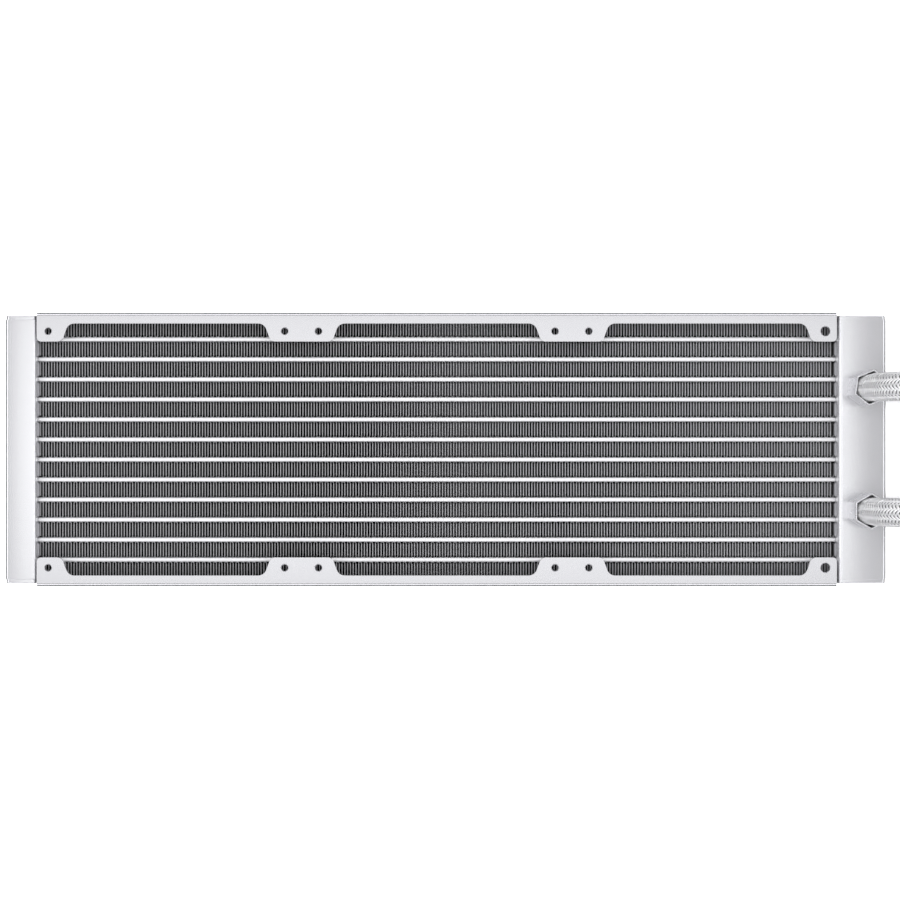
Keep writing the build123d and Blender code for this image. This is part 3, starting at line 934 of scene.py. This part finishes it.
@dataclass
class FinTile:
    """One leaf of a folded fin, with its louvres and the round bend over to the next leaf."""

    pitch: float
    height: float
    depth: float
    sheet: float = 0.10 * MM
    leg: float = 0.30 * MM
    margin: float = 0.35 * MM
    louvre_count: int = 14
    louvre_tilt: float = 20.0
    louvre_width: float = 1.22 * MM
    bend_steps: int = 6

    def build(self) -> bpy.types.Object:
        """Build the tile about the strip's middle, with its leaf at X = 0.

        Returns:
            The tile as a mesh object.
        """
        shape = bmesh.new()
        self.add_bend(shape)
        self.add_leaf(shape)
        for face in shape.faces:
            face.smooth = False
        return put_in_scene("fin_tile", finished_mesh("fin_tile", shape, FIN_ALUMINIUM))

    def add_bend(self, shape: bmesh.types.BMesh) -> None:
        """Add the bend: a strip of sheet that leaves this leaf, turns round and meets the next one.

        Args:
            shape: The mesh under construction.
        """
        radius = self.pitch / 2
        centre = Vector((radius, self.height / 2 - self.sheet / 2 - radius))
        line = [(Vector((0.0, centre.y - self.leg)), Vector((-1.0, 0.0)))]
        for i in range(self.bend_steps + 1):
            angle = math.pi * (1 - i / self.bend_steps)
            out = Vector((math.cos(angle), math.sin(angle)))
            line.append((centre + out * radius, out))
        line.append((Vector((self.pitch, centre.y - self.leg)), Vector((1.0, 0.0))))
        rings = []
        for point, out in line:
            outer = point + out * self.sheet / 2
            inner = point - out * self.sheet / 2
            z = self.depth / 2
            corners = [(outer, z), (outer, -z), (inner, -z), (inner, z)]
            rings.append([shape.verts.new((p.x, p.y, h)) for p, h in corners])
        self.skin(shape, rings)

    @staticmethod
    def skin(shape: bmesh.types.BMesh, rings: list[list[bmesh.types.BMVert]]) -> None:
        """Close a bar of sheet through rings of four corners.

        Args:
            shape: The mesh under construction.
            rings: The rings, from one end of the bar to the other.
        """
        for before, after in zip(rings, rings[1:]):
            for i in range(4):
                j = (i + 1) % 4
                shape.faces.new((before[i], before[j], after[j], after[i]))
        shape.faces.new(rings[0][::-1])
        shape.faces.new(rings[-1])

    def add_leaf(self, shape: bmesh.types.BMesh) -> None:
        """Add the leaf between its bends: a flat margin at both faces, and louvres between them.

        Args:
            shape: The mesh under construction.
        """
        top = self.height / 2 - self.sheet / 2 - self.pitch / 2 - self.leg / 2
        for side in (1, -1):
            z = side * (self.depth - self.margin) / 2
            self.add_slat(shape, z, self.margin, 0.0, top)
        open_depth = self.depth - 2 * self.margin
        step = open_depth / self.louvre_count
        for i in range(self.louvre_count):
            z = (i + 0.5) * step - open_depth / 2
            tilt = math.radians(self.louvre_tilt) * (1 if z >= -step / 4 else -1)
            self.add_slat(shape, z, self.louvre_width, tilt, top)

    def add_slat(
        self, shape: bmesh.types.BMesh, z: float, width: float, tilt: float, reach: float
    ) -> None:
        """Add one flat slat, turned by its tilt about its own length.

        Args:
            shape: The mesh under construction.
            z: The height of the slat's middle.
            width: Its size along the air's way.
            tilt: How far it is turned, in radians.
            reach: Half its length.
        """
        along = Vector((math.sin(tilt), 0.0, math.cos(tilt))) * width / 2
        through = Vector((math.cos(tilt), 0.0, -math.sin(tilt))) * self.sheet / 2
        middle = Vector((0.0, 0.0, z))
        corners = [middle + s * through + t * along for s, t in ((1, 1), (1, -1), (-1, -1), (-1, 1))]
        far = [shape.verts.new(c + Vector((0, reach, 0))) for c in corners]
        near = [shape.verts.new(c - Vector((0, reach, 0))) for c in corners]
        self.skin(shape, [near, far])


@dataclass
class Core:
    """The brazed core: louvred fins between flat tubes, with the headers and side plates round it."""

    tube_count: int = 12
    leaf_pitch: float = 1.245 * MM
    header_edge: float = 0.12 * MM

    def build(self) -> None:
        """Build the fins, and dress the rest."""
        for number in range(1, self.tube_count + 2):
            self.fin_strip(f"fin_strip_{number:02d}")
        for number in range(1, self.tube_count + 1):
            dress_node(f"flat_tube_{number:02d}", TUBE_ALUMINIUM)
        for side in Side:
            dress_node(f"core_side_plate_{side.value}", BRAZED_ALUMINIUM)
        for header in ("port_header", "return_header"):
            SoftenedPart(header, "brazed_aluminium", BRAZED_ALUMINIUM, self.header_edge).build()
        dress_node("port_tank_baffle", BRAZED_ALUMINIUM)
        log.info("core: %d fin strips, %d tubes", self.tube_count + 1, self.tube_count)

    def fin_strip(self, node: str) -> None:
        """Build one louvred strip in the space of its plain CAD solid.

        Args:
            node: The CAD node that it stands for.
        """
        low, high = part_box(node)
        length = high.x - low.x
        count = round(length / self.leaf_pitch)
        tile = FinTile(length / count, high.y - low.y, high.z - low.z)
        tile_object = tile.build()
        mesh_name = f"louvred_{node}"
        centre = middle(node)
        values = {
            "Tile": tile_object,
            "Count": count,
            "Pitch": (length - 2 * tile.sheet) / count,
            "Start": Vector((low.x + tile.sheet, centre.y, centre.z)),
            "Material": FIN_ALUMINIUM.material(),
        }
        mesh = grown_mesh(mesh_name, RowTree().build(), values)
        mesh.name = mesh_name
        bpy.data.objects.remove(tile_object)
        add_piece(mesh_name, mesh, (node,))


# ---- tanks, frames, ports and fittings
@dataclass
class Shell:
    """The painted shell: both tanks with their end caps, and the two side frames."""

    tank_edge: float = 0.25 * MM
    cap_edge: float = 0.12 * MM
    frame_edge: float = 0.32 * MM

    def build(self) -> None:
        """Build the rounded copy of every painted part."""
        for tank, paint in (("port_tank", PORT_TANK_PAINT), ("return_tank", RETURN_TANK_PAINT)):
            SoftenedPart(tank, "painted_silver", paint, self.tank_edge).build()
            for side in Side:
                cap = f"{tank}_cap_{side.value}"
                SoftenedPart(cap, "painted_silver", paint, self.cap_edge).build()
        for side in Side:
            rail = f"side_frame_{side.value}"
            SoftenedPart(rail, "painted_silver", SATIN_PAINT, self.frame_edge).build()
        log.info("shell: 2 tanks, 4 caps, 2 side frames")


@dataclass
class Fittings:
    """What is at the hoses' ends: ferrules, barbed stubs, elbows and their seal rings."""

    ferrule_edge: float = 0.14 * MM
    elbow_edge: float = 0.2 * MM

    def build(self) -> None:
        """Build and dress every fitting."""
        for side in Side:
            name = side.value
            for ferrule in (f"hex_ferrule_{name}", f"pump_ferrule_{name}"):
                SoftenedPart(ferrule, "ferrule_silver", FERRULE_PLATING, self.ferrule_edge).build()
            elbow = f"pump_elbow_{name}"
            SoftenedPart(elbow, "fitting_plastic", FITTING_PLASTIC, self.elbow_edge).build()
            dress_node(f"port_nipple_{name}", BRAZED_ALUMINIUM)
            dress_node(f"seal_rings_{name}", SEAL_RUBBER)
        log.info("fittings: 4 ferrules, 2 elbows, 2 port stubs")


# ---- studio
@dataclass
class Studio:
    """The camera, looking straight down on the fan side, over a pale floor in soft light."""

    camera_x: float = 1.93 * MM
    camera_y: float = -0.22 * MM
    camera_height: float = 811 * MM
    lens: float = 70.7
    sensor: float = 36.0
    softbox_size: tuple[float, float] = (1.24, 0.44)
    softbox_place: Triple = (-0.04, 0.0, 1.3)
    softbox_power: float = 1.73
    hose_sun: float = 3.0
    hose_sun_spread: float = 60.0
    floor_size: float = 8.0
    floor_drop: float = 0.1 * MM
    floor_sun: float = 3.9
    floor_sun_tilt: float = 9.0
    floor_sun_spread: float = 5.0
    sky_strength: float = 1.7
    sky_blue: float = 1.02
    sky_stops: ClassVar[list[tuple[float, float]]] = [
        (0.0, 0.03), (0.22, 0.07), (0.36, 1.0), (0.68, 1.0), (0.85, 0.22),
    ]

    def build(self) -> None:
        """Set up the camera, floor, lights and world."""
        scene = bpy.context.scene
        scene.view_settings.view_transform = "Standard"
        self.camera()
        floor = self.floor()
        self.softbox(floor)
        self.sun("floor_light", self.floor_sun, self.floor_sun_tilt, self.floor_sun_spread, [floor])
        self.world()
        log.info("studio: camera %.0f mm over the bench", self.camera_height / MM)

    def camera(self) -> None:
        """Add the camera, with the radiator's length across the picture."""
        lens = bpy.data.cameras.new("camera")
        lens.lens = self.lens
        lens.sensor_width = self.sensor
        lens.clip_start = 0.01
        camera = put_in_scene("camera", lens)
        camera.location = (self.camera_x, self.camera_y, self.camera_height)
        bpy.context.scene.camera = camera

    def floor(self) -> bpy.types.Object:
        """Add the pale floor, which metal doesn't reflect and which throws no light back.

        Returns:
            The floor.
        """
        mesh = bpy.data.meshes.new("floor")
        half = self.floor_size / 2
        corners = [(-half, -half), (half, -half), (half, half), (-half, half)]
        mesh.from_pydata([(x, y, -self.floor_drop) for x, y in corners], [], [(0, 1, 2, 3)])
        mesh.materials.append(FLOOR_PAPER.material())
        floor = put_in_scene("floor", mesh)
        floor.visible_glossy = False
        floor.visible_diffuse = False
        return floor

    def softbox(self, floor: bpy.types.Object) -> None:
        """Add the large soft light over the middle of the radiator.

        Args:
            floor: The floor, which this light leaves out, because it has a light of its own.
        """
        light = bpy.data.lights.new("softbox", "AREA")
        light.shape = "RECTANGLE"
        light.size, light.size_y = self.softbox_size
        light.energy = self.softbox_power
        lamp = put_in_scene("softbox", light)
        lamp.location = self.softbox_place
        passed = bpy.data.collections.new("passed_by_softbox")
        passed.objects.link(floor)
        passed.collection_objects[0].light_linking.link_state = "EXCLUDE"
        lamp.light_linking.receiver_collection = passed

    def sun(
        self, name: str, energy: float, tilt: float, spread: float, lit: list[bpy.types.Object]
    ) -> None:
        """Add a distant light that reaches only some of the scene.

        Args:
            name: The light's name.
            energy: Its strength, in watts on each square metre.
            tilt: How far it leans about Y, in degrees.
            spread: How wide it looks, in degrees.
            lit: The objects that it reaches.
        """
        light = bpy.data.lights.new(name, "SUN")
        light.energy = energy
        light.angle = math.radians(spread)
        lamp = put_in_scene(name, light)
        lamp.rotation_euler = (0.0, math.radians(-tilt), 0.0)
        reached = bpy.data.collections.new(f"lit_by_{name}")
        for each in lit:
            reached.objects.link(each)
        lamp.light_linking.receiver_collection = reached

    def light_hoses(self, hoses: list[bpy.types.Object]) -> None:
        """Add the soft light that reaches only the hoses."""
        self.sun("hose_light", self.hose_sun, 0.0, self.hose_sun_spread, hoses)

    def world(self) -> None:
        """Add the surroundings: dark low down, white at mid height and soft grey overhead.

        The camera itself sees plain white.
        """
        world = bpy.data.worlds.new("studio")
        world.use_nodes = True
        world.node_tree.nodes.clear()
        bpy.context.scene.world = world
        wiring = Wiring(world.node_tree)
        direction = wiring.node("ShaderNodeTexCoord").outputs["Generated"]
        height = wiring.node("ShaderNodeSeparateXYZ", {"Vector": direction}).outputs["Z"]
        ramp = wiring.node("ShaderNodeValToRGB", {"Fac": height})
        while len(ramp.color_ramp.elements) < len(self.sky_stops):
            ramp.color_ramp.elements.new(0.5)
        for element, (place, grey) in zip(ramp.color_ramp.elements, self.sky_stops):
            element.position = place
            element.color = (grey, grey, grey * self.sky_blue, 1.0)
        seen = wiring.node("ShaderNodeLightPath").outputs["Is Camera Ray"]
        lit = wiring.node(
            "ShaderNodeBackground", {"Color": ramp.outputs["Color"], "Strength": self.sky_strength}
        )
        plain = wiring.node("ShaderNodeBackground", {"Color": (1.0, 1.0, 1.0, 1.0), "Strength": 1.0})
        mixed = wiring.node("ShaderNodeMixShader", {0: seen, 1: lit.outputs[0], 2: plain.outputs[0]})
        wiring.node("ShaderNodeOutputWorld", {"Surface": mixed.outputs[0]})


# ---- hose routes
UPPER_ROUTE = [
    (0, 0, 33), (0, 0, 50), (5.5, -0.6, 76), (26, 0, 106), (61, 3, 124),
    (101, 6, 122), (135, 8, 98), (160, 9, 64), (187, 9, 32), (222, 7, 11),
    (262, 4, 6.3), (300, 1.5, 6.95), (331, 0.5, 6.95),
]
LOWER_ROUTE = [
    (0, 0, 33), (0, 0, 50), (5.8, 0.6, 75.5), (27, -0.3, 105), (62, -4, 121),
    (101, -8, 117), (134, -9.5, 92), (159, -10, 58), (187, -9, 27), (224, -7, 9.5),
    (264, -5, 6.3), (302, -4.5, 6.95), (335, -5, 6.95),
]


def main() -> None:
    """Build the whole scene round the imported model."""
    logging.basicConfig(level=logging.INFO, format="%(message)s")
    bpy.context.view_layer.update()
    studio = Studio()
    studio.build()
    Fittings().build()
    hoses = [
        BraidedHose(Side.UPPER, UPPER_ROUTE, length=0.4315).build(),
        BraidedHose(Side.LOWER, LOWER_ROUTE, length=0.4310).build(),
    ]
    studio.light_hoses(hoses)
    log.info("hoses: %d", len(hoses))
    Core().build()
    Shell().build()


if __name__ == "__main__":
    main()
